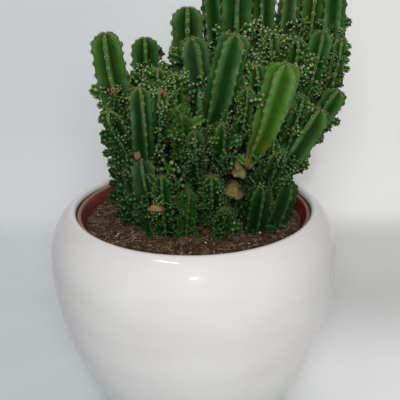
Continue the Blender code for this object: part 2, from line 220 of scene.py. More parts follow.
class Piece:
    """The mesh of one piece, gathered part by part, with values that its materials read."""

    VALUES = ("crest", "age", "tone", "mark")

    def __init__(self):
        self.points, self.values, self.faces, self.slots = [], [], [], []
        self.count = 0

    def add(self, points, faces, slot=0, crest=0, age=0, tone=0, mark=0):
        """Add points (n, 3), blocks of faces, and one value or (n,) values of each kind."""
        kinds = [np.broadcast_to(value, len(points)) for value in (crest, age, tone, mark)]
        self.points.append(points)
        self.values.append(np.stack(kinds, -1))
        for block in faces:
            self.faces.append(block + self.count)
            self.slots.append(np.full(len(block), slot))
        self.count += len(points)

    def stamp(self, models, choice, places, frames, scales, ages, tones):
        """Add a copy of the chosen model at each place, turned by its frame (axes in columns)."""
        for index, model in enumerate(models):
            here = choice == index
            points = np.concatenate(model.points)
            copies = scales[here, None, None] * np.einsum("kij,nj->kni", frames[here], points)
            first = self.count + len(points) * np.arange(here.sum())[:, None, None]
            for block, slots in zip(model.faces, model.slots):
                self.faces.append((first + block).reshape(-1, block.shape[1]))
                self.slots.append(np.tile(slots, here.sum()))
            values = np.repeat(np.concatenate(model.values)[None], here.sum(), 0)
            values[:, :, 1] += ages[here, None]
            values[:, :, 2] += tones[here, None]
            self.points.append((places[here, None] + copies).reshape(-1, 3))
            self.values.append(values.reshape(-1, len(self.VALUES)))
            self.count += len(self.points[-1])

    def built(self, name, *materials):
        """The piece as an object."""
        mesh = bpy.data.meshes.new(name)
        faces = [face for block in self.faces for face in block.tolist()]
        mesh.from_pydata(np.concatenate(self.points) * MM, [], faces)
        mesh.polygons.foreach_set("material_index", np.concatenate(self.slots))
        mesh.shade_smooth()
        values = np.concatenate(self.values).astype(np.float32)
        for index, kind in enumerate(self.VALUES):
            mesh.attributes.new(kind, "FLOAT", "POINT").data.foreach_set("value", values[:, index])
        for material in materials:
            mesh.materials.append(material)
        return new_object(name, mesh)


def new_object(name, data):
    made = bpy.data.objects.new(name, data)
    SCENE.collection.objects.link(made)
    return made


def place_body(name, piece, node, *materials):
    """Put a piece into the scene in place of a CAD node."""
    body = piece.built(name, *materials)
    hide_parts(node)
    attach(body, "root")
    return body


# ------------ measuring the CAD stems
def node_points(name):
    """Points (n, 3) of a CAD node and its edges as pairs of indices."""
    mesh = frame["nodes"][name].data
    points = np.array([vertex.co for vertex in mesh.vertices], float) / MM
    return points, np.array([edge.vertices[:] for edge in mesh.edges])


def crossings(points, edges, axis, height):
    """Where a node's edges pass through the plane at a height along an axis."""
    level = points @ axis - height
    first, second = level[edges[:, 0]], level[edges[:, 1]]
    cut = first * second < 0
    share = (first[cut] / (first[cut] - second[cut]))[:, None]
    return points[edges[cut, 0]] * (1 - share) + points[edges[cut, 1]] * share


def enclosing_circle(points):
    centre = points.mean(0)
    for step in range(2, 300):
        gaps = ((points - centre) ** 2).sum(1)
        centre = centre + (points[gaps.argmax()] - centre) / step
    return centre, math.sqrt(gaps.max())


def rib_phase(points, stem):
    """Number of ribs and the direction of the first, from where the outermost points lie."""
    length = np.linalg.norm(stem.tip - stem.foot)
    share = (points - stem.foot) @ (stem.tip - stem.foot) / length ** 2
    centres, frames = stations(stem, np.clip(share, 0, 1))
    across, beside = (((points - centres) * frames[:, axis]).sum(1) for axis in (0, 1))
    crest = (np.hypot(across, beside) > 0.95 * stem.radius) & (share > 0.1) & (share < 0.8)
    angle = np.arctan2(beside, across)[crest]
    sums = {ribs: np.exp(1j * ribs * angle).mean() for ribs in (5, 6, 7)}
    ribs = max(sums, key=lambda count: abs(sums[count]))
    return ribs, np.angle(sums[ribs]) / ribs


def measured_stem(name):
    """A stem with the centre line, thickness and ribs of its CAD node."""
    points, edges = node_points(name)
    axis = np.linalg.svd(points - points.mean(0), full_matrices=False)[2][0]
    for degree in (1, 1, 2):
        axis = axis * np.sign(axis[2])
        levels = points @ axis
        low, high = levels.min(), levels.max()
        heights = low + (high - low) * PROBES
        circles = [enclosing_circle(crossings(points, edges, axis, height)) for height in heights]
        centres, radii = (np.array(found) for found in zip(*circles))
        whole = (radii > 0.97 * radii.max()).sum()
        curve = np.polynomial.polynomial.polyfit(heights - low, centres, degree if whole > 4 else 1,
                                                 w=(radii / radii.max()) ** 12)
        foot, middle, tip = (sum(term * distance ** power for power, term in enumerate(curve))
                             for distance in (0, (high - low) / 2, high - low))
        axis = unit(tip - foot)
    kind = KINDS[name.split("_")[0]]
    stem = Stem(name, kind, foot, middle, tip, np.sort(radii)[-3:].mean(), 5, 0, True)
    ribs, turn = rib_phase(points, stem)
    return stem._replace(ribs=ribs, turn=turn)


# ------------ the shape of a stem
def stations(stem, share):
    """Points of a stem's centre line at shares (n,) of its length, and frames there, as rows:
    across (towards +X), beside and along."""
    share = share[:, None]
    rest = 1 - share
    control = 2 * stem.middle - (stem.foot + stem.tip) / 2
    points = rest ** 2 * stem.foot + 2 * share * rest * control + share ** 2 * stem.tip
    along = unit(rest * (control - stem.foot) + share * (stem.tip - control))
    across = unit(np.array((1.0, 0, 0)) - along[:, :1] * along)
    return points, np.stack([across, np.cross(along, across), along], 1)


class Surface:
    """The round outline of a stem, which places points by path length from its tip and angle."""

    def __init__(self, stem, rng):
        self.stem = stem
        self.length = np.linalg.norm(stem.tip - stem.foot)
        self.radius = stem.radius * stem.kind.width
        dome = min(BLUNT.get(stem.name, DOME_HEIGHT) * self.radius, 0.6 * self.length)
        core = self.length - dome
        foot, narrow = min(FOOT_LENGTH * self.radius, 0.6 * core), FOOT_WIDTH
        if stem.name in TAPER:
            foot, narrow = core * TAPER[stem.name][0], TAPER[stem.name][1]
        covered = BEARING.get(stem.name, 0) * self.length
        rings = max(3, round((core - covered) / stem.kind.step))
        distance = np.append(np.arange(0, covered, 2.5 * stem.kind.step),
                             np.linspace(covered, core, rings))
        swell = np.sin(np.clip(distance / foot, 0, 1) * math.pi / 2)
        radius = self.radius * (narrow + (1 - narrow) * swell)
        self.phases = rng.uniform(0, math.tau, 4)
        radius *= (1 + 0.02 * np.sin(distance / 5.1 + self.phases[0])
                   + 0.015 * np.sin(distance / 2.3 + self.phases[1]))
        domed = np.radians(np.linspace(0, 84, max(4, round(1.3 * dome / stem.kind.step))))[1:]
        tilt = np.arctan2(radius[-1] * np.sin(domed), dome * np.cos(domed))
        self.distance = np.append(distance, core + dome * np.sin(domed))
        self.reach = np.append(radius, radius[-1] * np.cos(domed) ** 0.9)
        self.tilt = np.append(np.zeros_like(distance), tilt)
        path = np.append(0, np.cumsum(np.hypot(np.diff(self.distance), np.diff(self.reach))))
        self.path = path[-1] - path + self.reach[-1]

    def lines(self, path):
        """Centre points, frames, radius and tilt at path lengths (n,) from the tip."""
        distance, reach, tilt = (np.interp(-path, -self.path, values)
                                 for values in (self.distance, self.reach, self.tilt))
        return *stations(self.stem, distance / self.length), reach, tilt

    def wander(self, path):
        """How far the ribs have strayed sideways at a path length, as an angle."""
        sway = np.sin(path / 9 + self.phases[2]) + 0.6 * np.sin(path / 4.3 + self.phases[3])
        return math.radians(RIB_WANDER) * sway * min(1, self.radius / 5)


def outward(frames, angle, tilt):
    """Directions away from the centre line at angles round it, and the surface's normals."""
    angle, tilt = angle[..., None], tilt[..., None]
    radial = np.cos(angle) * frames[..., 0, :] + np.sin(angle) * frames[..., 1, :]
    return radial, np.cos(tilt) * radial + np.sin(tilt) * frames[..., 2, :]


def rib_section(ribs, fine):
    """Angle, reach, crest value and rib of each point round a stem's section."""
    half = math.pi / ribs
    valley = (1 - VALLEY_DEPTH[ribs]) * np.array((math.cos(half), math.sin(half)))
    edge = np.array((0.94, 1.1 * CREST_WIDTH))
    side = unit(np.array((valley[1] - edge[1], edge[0] - valley[0])))
    face = [edge + share * (valley - edge) + FACE_BULGE * math.sin(math.pi * share) * side
            for share in ((0.2, 0.82) if fine else ())]
    round_edge = [(0.99, 0.6 * CREST_WIDTH)] if fine else []
    points = np.array([(1.0, 0.0), *round_edge, edge, *face, valley])
    crest = np.array((1, 0.95, 0.8, 0.6, 0.15, 0) if fine else (1, 0.7, 0))
    angle = np.arctan2(points[:, 1], points[:, 0])
    reach = np.hypot(points[:, 0], points[:, 1])
    back = slice(-2, 0, -1)
    angle = np.append(angle, 2 * half - angle[back])
    rib = np.append(np.zeros(len(points), int), np.ones(len(points) - 2, int))
    reach, crest = np.append(reach, reach[back]), np.append(crest, crest[back])
    turn = np.arange(ribs)[:, None]
    return ((angle + 2 * half * turn).ravel(), np.tile(reach, ribs), np.tile(crest, ribs),
            ((rib + turn) % ribs).ravel())


def areole_rows(stem, surface, rng):
    """Path lengths from the tip of the areoles on each rib, in turn on alternate ribs."""
    rows = []
    tip_pitch = TIP_PITCH[stem.fine] * surface.radius
    end = surface.path[0] - 0.5 * FOOT_LENGTH * surface.radius
    for rib in range(stem.ribs):
        place = tip_pitch * (1 + 0.5 * (rib % 2))
        row = []
        while place < end:
            row.append(place)
            grown = min(1, place / (PITCH_GROWS_OVER * surface.radius))
            pitch = tip_pitch * (1 - grown) + stem.kind.pitch * grown
            place += pitch * rng.uniform(0.9, 1.1)
        rows.append(np.array(row))
    return rows


def marked(points, name):
    """How far points carry each kind of mark of a stem: 0 none, 1 cork, 2 scar."""
    values = np.zeros(len(points))
    for place, radius, mark in rows_of(MARKS, name):
        near = 1 - np.linalg.norm(points - np.array(place), axis=1) / radius
        values = np.maximum(values, mark * np.clip(2.5 * near, 0, 1))
    return values


def age_and_shade_tone(heights):
    """The tone that height above the floor gives a part of the plant: older skin and painted shade
    lower down.
    """
    return np.interp(heights, (DARKEST_BELOW, BRIGHTEST_ABOVE), (DARKEST_TONE, BRIGHTEST_TONE))


def add_skin(piece, stem, surface, rows, tone):
    angle, reach, crest, rib = rib_section(stem.ribs, stem.fine)
    path = surface.path
    centres, frames, radius, tilt = surface.lines(path)
    reach_along = BUMP_REACH[stem.fine] * stem.radius
    bumps = np.stack([np.exp(-((path[:, None] - row) / reach_along) ** 2).sum(1) for row in rows], 1)
    bump = CREST_BUMP[stem.fine] * surface.radius * (np.clip(bumps, 0, 1.1) - 0.4)[:, rib] * crest
    turned = stem.turn + angle + surface.wander(path)[:, None]
    radial, normal = outward(frames[:, None], turned, np.broadcast_to(tilt[:, None], turned.shape))
    points = centres[:, None] + (radius[:, None] * reach)[..., None] * radial + bump[..., None] * normal
    apex = stem.tip - 0.12 * surface.radius * frames[-1, 2]
    points, faces = closed_tube(points, apex, stem.foot)
    rings, sides = turned.shape
    ages = np.append(np.repeat(path, sides), (0, path[0])) / YOUNG
    crests = np.append(np.tile(crest, rings), (0, 0))
    # lower on the plant the skin's tone darkens, for older skin and as painted shade near the soil
    if stem.fine:
        tone = tone + age_and_shade_tone(points[:, 2])
    piece.add(points, faces, SKIN, crests, ages, tone, marked(points, stem.name))


def add_areoles(piece, stem, surface, rows, kinds, tone, rng):
    """Woolly areoles with their spines along the crest of each rib, but none on marks."""
    path = np.concatenate(rows)
    rib = np.repeat(np.arange(len(rows)), [len(row) for row in rows])
    centres, frames, radius, tilt = surface.lines(path)
    angle = stem.turn + math.tau * rib / stem.ribs + surface.wander(path)
    radial, normal = outward(frames, angle, tilt)
    crests = centres + radius[:, None] * radial
    places = crests + 0.55 * CREST_BUMP[stem.fine] * surface.radius * normal
    side = unit(np.cross(frames[:, 2], radial))
    kept = marked(crests, stem.name) <= 0.5
    path, places, side, normal = path[kept], places[kept], side[kept], normal[kept]
    up = unit(np.cross(normal, side) + rng.normal(0, 0.12, len(path))[:, None] * side)
    turned = np.stack([np.cross(up, normal), up, normal], -1)
    grown = 0.72 + 0.28 * np.clip(path / (1.2 * stem.radius), 0, 1)
    scales = AREOLE_RADIUS[stem.fine] * math.sqrt(stem.radius / AREOLE_STEM) * grown
    scales *= rng.uniform(0.8, 1.15, len(path))
    if stem.kind is KINDS["arm"]:
        scales *= np.where(path > BARE_AFTER, BARE_ARM, 1)
    kind = rng.integers(len(kinds), size=len(path))
    # areoles lower on the plant get a darker tone, partly as painted shade near the soil
    tones = tone + rng.normal(0, 0.2, len(path)) + (age_and_shade_tone(places[:, 2]) if stem.fine else 0)
    piece.stamp(kinds, kind, places, turned, scales, path / YOUNG, tones)


def new_areole(rng, sides, spines, rings, length):
    """A woolly cushion of radius 1 with a pit and spines in its middle. Its rings are reach, height
    and crest value. X is across the rib, Y along it, `length` times as long, and Z out of it."""
    piece = Piece()
    angle = math.tau * (np.arange(sides) + rng.uniform(0, 1)) / sides
    circles = [np.stack([np.cos(angle) * reach * rng.uniform(0.9, 1.1, sides),
                         np.sin(angle) * reach * length * rng.uniform(0.9, 1.1, sides),
                         height * rng.uniform(0.85, 1.15, sides)], -1)
               for reach, height, _ in rings]
    crest = np.append(np.repeat([value for _, _, value in rings], sides), 0)
    points = np.vstack([*circles, (0, 0, 0.12)])
    count = len(rings) * sides
    faces = [tube_faces(len(rings), sides), fan_faces(count - sides, sides, count)]
    piece.add(points, faces, WOOL, crest)
    for number in range(spines):
        lean = rng.uniform(0.35, 1.15)
        turn = math.tau * (number + rng.uniform(-0.25, 0.25)) / spines
        along = around(math.sin(lean), turn, math.cos(lean))
        across = unit(np.cross(along, UP + 0.01))
        corners = 0.07 * around(1, turns(3)) @ (across, np.cross(along, across), along)
        points = np.vstack([0.25 * along + corners, (0.25 + rng.uniform(0.8, 1.5)) * along])
        piece.add(points, [np.array([(0, 1, 3), (1, 2, 3), (2, 0, 3)])], SPINE, (0, 0, 0, 1))
    return piece


def grow(piece, stem, areoles, tone, rng):
    surface = Surface(stem, rng)
    rows = areole_rows(stem, surface, rng)
    add_skin(piece, stem, surface, rows, tone)
    add_areoles(piece, stem, surface, rows, areoles, tone, rng)
    return surface


def small_stem(kind, foot, tip, radius, turn=0.0, ribs=5, bend=(0, 0, 0)):
    """A stem that has no CAD node of its own."""
    foot, tip = np.array(foot, float), np.array(tip, float)
    return Stem("", kind, foot, (foot + tip) / 2 + bend, tip, radius, ribs, turn, False)


def add_stump(piece, foot, tip, radius, flat, mark, rng):
    """A blunt corky stump of irregular section."""
    stem = small_stem(OFFSET, foot, tip, radius)
    rings, sides = 22, 26
    share = np.sin(np.linspace(0, math.pi / 2, rings))
    centres, frames = stations(stem, share)
    angle = turns(sides)[:, None]
    reach = radius * np.sqrt(np.clip(1.02 - share ** 12, 0, 1))
    corners = 1 - 0.22 * np.sin(3 * angle)
    radial = (np.cos(angle) * frames[:, None, 0] * flat + np.sin(angle) * frames[:, None, 1]) * corners
    points = (centres[:, None] + reach[:, None, None] * radial).reshape(-1, 3)
    seen = points[:, [0, 2]]
    rough = 0.5 * lumps(seen, 6, rng) + 0.35 * lumps(seen + points[:, 1:2], 2, rng)
    away = unit(points - (stem.foot + 0.6 * (stem.tip - stem.foot)))
    points = (points + 0.32 * radius * rough[:, None] * away).reshape(rings, sides, 3)
    points, faces = closed_tube(points, points[-1].mean(0), foot)
    piece.add(points, faces, SKIN, 1, mark=mark)


def add_growths(piece, name, areoles, tone, rng):
    """The knobs, the withered flowers and the corky stumps of a stem."""
    for foot, tip, radius in rows_of(KNOBS, name):
        grow(piece, small_stem(KNOB, foot, tip, radius, rng.uniform(0, 1)), areoles, tone, rng)
    for place, in rows_of(WITHERED, name):
        for _ in range(12):
            points, faces = chip(rng)
            axis, other = unit(rng.normal(size=(2, 3)))
            beside = unit(np.cross(axis, other))
            turned = np.stack([axis, beside, np.cross(axis, beside)])
            points = rng.uniform(1.0, 2.2) * points @ turned + place + rng.normal(0, (1.8, 0.7, 1.2))
            piece.add(points, faces, SKIN, 1, mark=SCAR)
    for stump in rows_of(STUMPS, name):
        add_stump(piece, *stump, rng)


# ------------ offsets
TRIES = 40  # places tried on a stem, for each that offsets at even distances would take
INSIDE = 0.85  # share of a stem's radius that counts as inside it
SUNK = 1.5  # how deep an offset's foot may lie in a neighbouring stem
LEAN_UP, LEAN_ASIDE = 0.35, 0.22  # how far offsets lean from the skin's normal


def new_offset(ribs, length, areoles, rng):
    """A small stem that stands on the origin, along +Z."""
    bend = (*rng.uniform(-0.5, 0.5, 2), 0)
    turn = rng.uniform(0, math.tau)
    piece = Piece()
    stem = small_stem(OFFSET, (0, 0, -1.5), (0, 0, length), OFFSET_RADIUS, turn, ribs, bend)
    grow(piece, stem, areoles, 0, rng)
    return piece


def centre_spheres(surfaces):
    """Centres, radii and owners of spheres that fill the stems, for telling what lies inside."""
    spheres = []
    for owner, surface in enumerate(surfaces):
        path = np.linspace(surface.path[0], surface.path[-1], max(4, int(surface.length / 2)))
        points, _, reach, _ = surface.lines(path)
        spheres.append((points, reach * INSIDE, np.full(len(points), owner)))
    return [np.concatenate(values) for values in zip(*spheres)]


def depth_inside(points, spheres, owner):
    """How deep each point lies in the stems other than its owner, or below zero if outside."""
    centres, radii, owners = spheres
    others = owners != owner
    gaps = np.linalg.norm(points[:, None] - centres[others], axis=2)
    return (radii[others] - gaps).max(1)


def sight_tree(pieces):
    """The skins of all stems, for telling what hides what."""
    points, faces, start = [], [], 0
    for piece in pieces:
        quads = piece.faces[0]
        faces += (np.vstack([quads[:, :3], quads[:, [0, 2, 3]]]) + start).tolist()
        points += piece.points[0].tolist()
        start = len(points)
    return BVHTree.FromPolygons(points, faces)


def open_sky(tree, points, normals, rng, rays=9, needed=3, far=40):
    """Which points see past the stems, upwards or sideways, in enough directions."""
    seen = []
    for point, normal in zip(points, normals):
        ways = unit(normal + 0.8 * rng.normal(size=(rays, 3)))
        free = sum(tree.ray_cast(Vector(point), Vector(way), far)[0] is None
                   for way in ways if way[2] > -0.15)
        seen.append(free >= needed)
    return np.array(seen, bool)


def plant_offsets(piece, surface, owner, spheres, tree, taken, templates, tone, rng):
    """Small offsets on the lower part of a stem, wherever there is room and they can be seen."""
    stem = surface.stem
    kind = stem.kind
    bearing = BEARING.get(stem.name, 1.0)
    tries = int(TRIES * surface.length * bearing * surface.radius / kind.spacing ** 2)
    highest = surface.path[0] * (1 - bearing) if bearing < 1 else 0.7 * surface.radius
    path = rng.uniform(highest, surface.path[0], tries)
    angle = rng.uniform(0, math.tau, tries)
    centres, frames, radius, tilt = surface.lines(path)
    radial, normal = outward(frames, angle, tilt)
    rib = np.abs((angle - stem.turn) * stem.ribs / math.tau % 1 - 0.5) * 2
    reach = radius * (1 - VALLEY_DEPTH[stem.ribs] * (1 - rib) * 0.9)
    places = centres + reach[:, None] * radial
    size = kind.small + (kind.large - kind.small) * rng.beta(1.6, 2.0, tries)
    size *= SLIM.get(stem.name, 1.0) * (1 + BACK_SPREAD * np.clip(places[:, 1] / 20, 0, 1))
    axis = unit(normal + LEAN_UP * UP + LEAN_ASIDE * rng.normal(size=(tries, 3)))
    tips = places + 1.5 * size[:, None] * axis
    good = depth_inside(tips, spheres, owner) < 0
    good &= depth_inside(places, spheres, owner) < SUNK
    good &= places[:, 2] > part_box("soil")[1].z / MM - 1
    good &= tips[:, 0] < CAD_BOX[1][0] / MM + OVERHANG
    for place, clear in KEEP_CLEAR:
        good &= np.linalg.norm(tips - np.array(place), axis=1) > clear
    order = np.flatnonzero(good)
    kept = []
    for index in order[open_sky(tree, tips[order] + 1.5 * axis[order], axis[order], rng)]:
        room = kind.spacing * size[index] / (0.5 * (kind.small + kind.large))
        if all(np.linalg.norm(places[index] - place) > 0.5 * (room + other) for place, other in taken):
            taken.append((places[index], room))
            kept.append(index)
    if not kept:
        return
    places, axis, size, path = places[kept], axis[kept], size[kept], path[kept]
    spin = unit(np.cross(axis, rng.normal(size=axis.shape)))
    turned = np.stack([spin, np.cross(axis, spin), axis], -1)
    half = len(templates) // 2      # the second half of them is woolly
    choice = rng.integers(half, size=len(kept))
    choice += half * (rng.uniform(size=len(kept))
                      < np.interp(places[:, 2], (DARKEST_BELOW, BRIGHTEST_ABOVE), WOOLLY))
    # offsets lower on the plant are darker, for older skin and as painted shade near the soil
    tones = tone + age_and_shade_tone(places[:, 2])
    tones[np.argsort(choice, kind="stable")] += rng.normal(0, 0.4, len(kept))
    ages = 0.35 * np.clip(path / YOUNG, 0, 1)
    piece.stamp(templates, choice, places, turned, size / OFFSET_RADIUS, ages, tones)


# ------------ materials
def srgb(*colour):
    """A linear colour from sRGB numbers."""
    return *(c / 3294.6 if c <= 10.31 else ((c / 255 + 0.055) / 1.055) ** 2.4 for c in colour), 1.0


class Nodes:
    """A node tree in the making."""

    def __init__(self, owner):
        owner.use_nodes = True
        self.tree = owner.node_tree

    def node(self, kind, **settings):
        made = self.tree.nodes.new(kind)
        for name, value in settings.items():
            setattr(made, name, value)
        return made

    def feed(self, node, *values, **named):
        """Link or set inputs of a node, in their order or by the first words of their names."""
        pairs = list(zip(node.inputs, values))
        for socket in node.inputs:
            pairs.append((socket, named.pop(socket.name.split()[0], None)))
        for socket, value in pairs:
            if isinstance(value, bpy.types.NodeSocket):
                self.tree.links.new(value, socket)
            elif value is not None:
                socket.default_value = value
        return node.outputs

    def maths(self, operation, first, second):
        return self.feed(self.node("ShaderNodeMath", operation=operation), first, second)[0]


class Finish(Nodes):
    """A material in the making. Values are sockets, and colours are sockets or sRGB tuples."""

    def __init__(self, name, colour=None):
        self.material = bpy.data.materials.new(name)
        super().__init__(self.material)
        self.shader = self.tree.nodes["Principled BSDF"]
        self.place = self.node("ShaderNodeTexCoord").outputs["Object"]
        self.colour = colour

    def value(self, name):
        return self.node("ShaderNodeAttribute", attribute_name=name).outputs["Fac"]

    def axes(self):
        return self.feed(self.node("ShaderNodeSeparateXYZ"), self.place)

    def noise(self, size, detail=3, roughness=0.55, stretch=None):
        """Noise of 0 to 1 whose blobs are about `size` millimetres."""
        place = self.place
        if stretch:
            place = self.feed(self.node("ShaderNodeMapping"), place, Scale=stretch)[0]
        made = self.node("ShaderNodeTexNoise")
        return self.feed(made, place, Scale=1 / (size * MM), Detail=detail, Roughness=roughness)[0]

    def cells(self, size):
        return self.feed(self.node("ShaderNodeTexVoronoi"), self.place, Scale=1 / (size * MM))[0]

    def span(self, value, low, high, start=0.0, end=1.0):
        """`value` from low..high turned smoothly into start..end."""
        made = self.node("ShaderNodeMapRange", interpolation_type="SMOOTHSTEP")
        return self.feed(made, value, low, high, start, end)[0]

    def times(self, *values):
        return reduce(lambda first, second: self.maths("MULTIPLY", first, second), values)

    def mix(self, share, first, second):
        first, second = (srgb(*it) if isinstance(it, tuple) else it for it in (first, second))
        skipped = [None] * 5    # the inputs of a mix node for other kinds of value
        made = self.node("ShaderNodeMix", data_type="RGBA")
        return self.feed(made, share, *skipped, first, second)[2]

    def cover(self, colour, share, *limits):
        """Lay a colour over what is there, by a share of 0 to 1 or by the span of a value."""
        if limits:
            share = self.span(share, *limits)
        self.colour = self.mix(share, self.colour, colour)

    def ramp(self, value, *stops):
        made = self.node("ShaderNodeValToRGB")
        points = made.color_ramp.elements
        while len(points) < len(stops):
            points.new(1)
        for point, (place, colour) in zip(points, stops):
            point.position, point.color = place, srgb(*colour)
        return self.feed(made, value)[0]

    def done(self, roughness, height=None, depth=0.1, specular=None):
        """Finish the material; `height` is a value of 0 to 1 that stands `depth` mm high."""
        bump = None
        if height is not None:
            bump = self.feed(self.node("ShaderNodeBump"), Distance=depth * MM, Height=height)[0]
        self.feed(self.shader, Base=self.colour, Roughness=roughness, Normal=bump, Specular=specular)
        return self.material


SKIN_TONES = {
    # slot: (young skin, grown skin, old skin, dark green for random patches and for painted shade in
    # the valleys between ribs)
    "stem_skin_leaf_green": ((66, 108, 42), (46, 88, 34), (40, 70, 24), (8, 42, 6)),
    "stem_skin_dark_green": ((58, 98, 38), (34, 72, 28), (30, 56, 20), (6, 32, 6)),
    "stem_skin_grey_green": ((76, 108, 62), (58, 90, 52), (48, 70, 38), (14, 44, 14)),
    "stem_skin_bright_green": ((84, 132, 44), (74, 118, 38), (88, 100, 14), (26, 68, 8)),
}


def skin_material(slot):
    young, grown, old, patch_and_valley_shade = SKIN_TONES[slot]
    skin = Finish(slot + "_skin", young)
    crest, age, tone, mark = (skin.value(name) for name in Piece.VALUES)
    skin.cover(grown, age, 0.0, 0.35)
    skin.cover(old, age, 0.55, 1.0)
    skin.cover(patch_and_valley_shade, skin.noise(5), 0.35, 0.7, 0, 0.45)
    # by tone: yellower green higher up and darker green lower down, partly random and older skin,
    # partly painted light and shade
    skin.cover((92, 118, 34), tone, -0.2, 1.2, 0, 0.55)
    skin.cover((8, 37, 13), tone, 0.2, -1.3, 0, 0.8)
    # painted shade: the skin darkens from the rib crests into the valleys, in green and brownish
    # patches
    shade = skin.mix(skin.span(skin.noise(6), 0.5, 0.68, 0, 0.5), patch_and_valley_shade, (36, 34, 12))
    skin.cover(shade, crest, 0.75, 0.0, 0, 0.75)
    # pale waxy bloom in patches on the rib faces, higher up, which is also a painted sheen
    bloom_and_sheen = skin.span(skin.noise(12), 0.4, 0.7, 0.06, 0.4)
    bloom_and_sheen = skin.times(bloom_and_sheen, skin.span(tone, -0.7, -0.1), skin.span(crest, 0.3, 0.8))
    skin.cover((104, 138, 98), bloom_and_sheen)
    # painted highlight along the rib crests
    edge = skin.times(skin.span(crest, 0.7, 1.0, 0, 0.3), skin.span(skin.noise(1.2), 0.3, 0.7))
    skin.cover((96, 122, 66), edge)
    dots = skin.times(skin.span(skin.cells(0.8), 0.22, 0.1), skin.span(skin.noise(4), 0.4, 0.7), 0.3)
    skin.cover((104, 128, 84), dots)
    grain = skin.noise(0.45, 4, 0.6)
    bark = skin.mix(skin.span(grain, 0.3, 0.7), (70, 62, 34), (146, 134, 88))
    aged = skin.times(skin.span(age, 0.85, 1.3), skin.span(skin.noise(7, 4), 0.48, 0.62), 0.85)
    mark = skin.maths("ADD", mark, skin.span(skin.noise(2.4), 0.25, 0.75, -0.34, 0.34))
    skin.cover(bark, skin.maths("MAXIMUM", aged, skin.span(mark, 0.35, 0.6)))
    skin.cover(skin.mix(grain, (120, 60, 44), (176, 112, 92)), mark, 1.3, 1.6)
    height = skin.maths("ADD", skin.times(grain, 0.5), skin.noise(2.2, 2))
    return skin.done(skin.span(skin.noise(2.5), 0.2, 0.8, 0.36, 0.58), height, 0.16, 0.08)


def wool_material():
    wool = Finish("areole_wool")
    crest, age, tone = wool.value("crest"), wool.value("age"), wool.value("tone")
    fibres = wool.noise(0.25, 3, 0.7)
    lit = wool.maths("ADD", crest, wool.span(fibres, 0.2, 0.8, -0.22, 0.22))
    wool.colour = wool.ramp(lit, (0.05, (44, 58, 24)), (0.3, (74, 96, 46)), (0.6, (98, 122, 70)),
                            (0.95, (158, 168, 124)))
    # cream wool on each cushion's raised ring, more of it higher up: the cushions' own colour with
    # painted light
    cream_lit_higher_up = wool.times(wool.span(tone, -0.3, 0.1, 0, 0.6), wool.span(lit, 0.5, 0.9))
    wool.cover((198, 198, 166), cream_lit_higher_up)
    wool.cover((88, 84, 62), wool.maths("ADD", age, wool.noise(6)), 1.1, 1.7, 0, 0.7)
    # painted shade: wool darkens towards the soil, with random tone
    wool.cover((40, 64, 32), tone, 0.2, -1.2, 0, 0.72)
    return wool.done(0.9, fibres, 0.25, 0.05)


def spine_material():
    spine = Finish("spine")
    streaks = spine.noise(0.5, 2)
    along = spine.maths("ADD", spine.value("crest"), spine.span(streaks, 0.2, 0.8, -0.15, 0.15))
    spine.colour = spine.ramp(along, (0.0, (58, 34, 22)), (0.45, (126, 92, 58)), (1.0, (206, 186, 140)))
    return spine.done(0.45, streaks, 0.02)


# ------------ putting the plant together
# rings of the areoles on columns, and of the woolly and plain ones on small growths
FULL_RINGS = ((1.0, -0.3, 0.12), (0.72, 0.26, 0.72), (0.42, 0.22, 0.34))
WOOLLY_RINGS = ((1.0, -0.3, 0.4), (0.62, 0.35, 1.0))
PLAIN_RINGS = ((0.7, -0.25, 0.4), (0.42, 0.25, 0.85))


def build_plant():
    rng = np.random.default_rng(SEED)
    stems = [measured_stem(name) for name in sorted(SLOTS) if SLOTS[name] in SKIN_TONES]
    areoles = [new_areole(rng, 8, 5, FULL_RINGS, 1.25) for _ in range(6)]
    plain, woolly = ([new_areole(rng, 5, 1, rings, 0.8) for _ in range(5)]
                     for rings in (PLAIN_RINGS, WOOLLY_RINGS))
    templates = [new_offset(ribs, length, kinds, rng) for kinds in (plain, woolly)
                 for ribs in (4, 5) for length in (3.2, 4.4, 6.2)]
    tones = rng.normal(0, 0.18, len(stems)) - [DULLER.get(stem.name, 0) for stem in stems]
    pieces, surfaces = [Piece() for _ in stems], []
    for stem, piece, tone in zip(stems, pieces, tones):
        surfaces.append(grow(piece, stem, areoles, tone, rng))
        add_growths(piece, stem.name, woolly, tone, rng)
    spheres, tree, taken = centre_spheres(surfaces), sight_tree(pieces), []
    for index in sorted(range(len(stems)), key=lambda index: BEARING.get(stems[index].name, 1.0)):
        plant_offsets(pieces[index], surfaces[index], index, spheres, tree, taken, templates,
                      tones[index], rng)
    skins = {slot: skin_material(slot) for slot in SKIN_TONES}
    wool, spine = wool_material(), spine_material()
    for stem, piece in zip(stems, pieces):
        place_body(stem.name + "_grown", piece, stem.name, skins[SLOTS[stem.name]], wool, spine)


# ------------ pots
FLOOR_EDGE = 35  # within this radius a pot has only its flat floors
CORNER = math.radians(38)  # an outline that turns more than this at a point stays sharp there
GLAZE_WAVE = 0.12  # how far the cachepot strays from a true circle
RIM_FLARE, RIM_DEPTH = 1.1, 6.0  # the nursery pot's rim leans out this far over this height
DRAIN_HOLES = 6
DRAIN_HOLE_RADIUS = 4.5
DRAIN_CIRCLE = 26


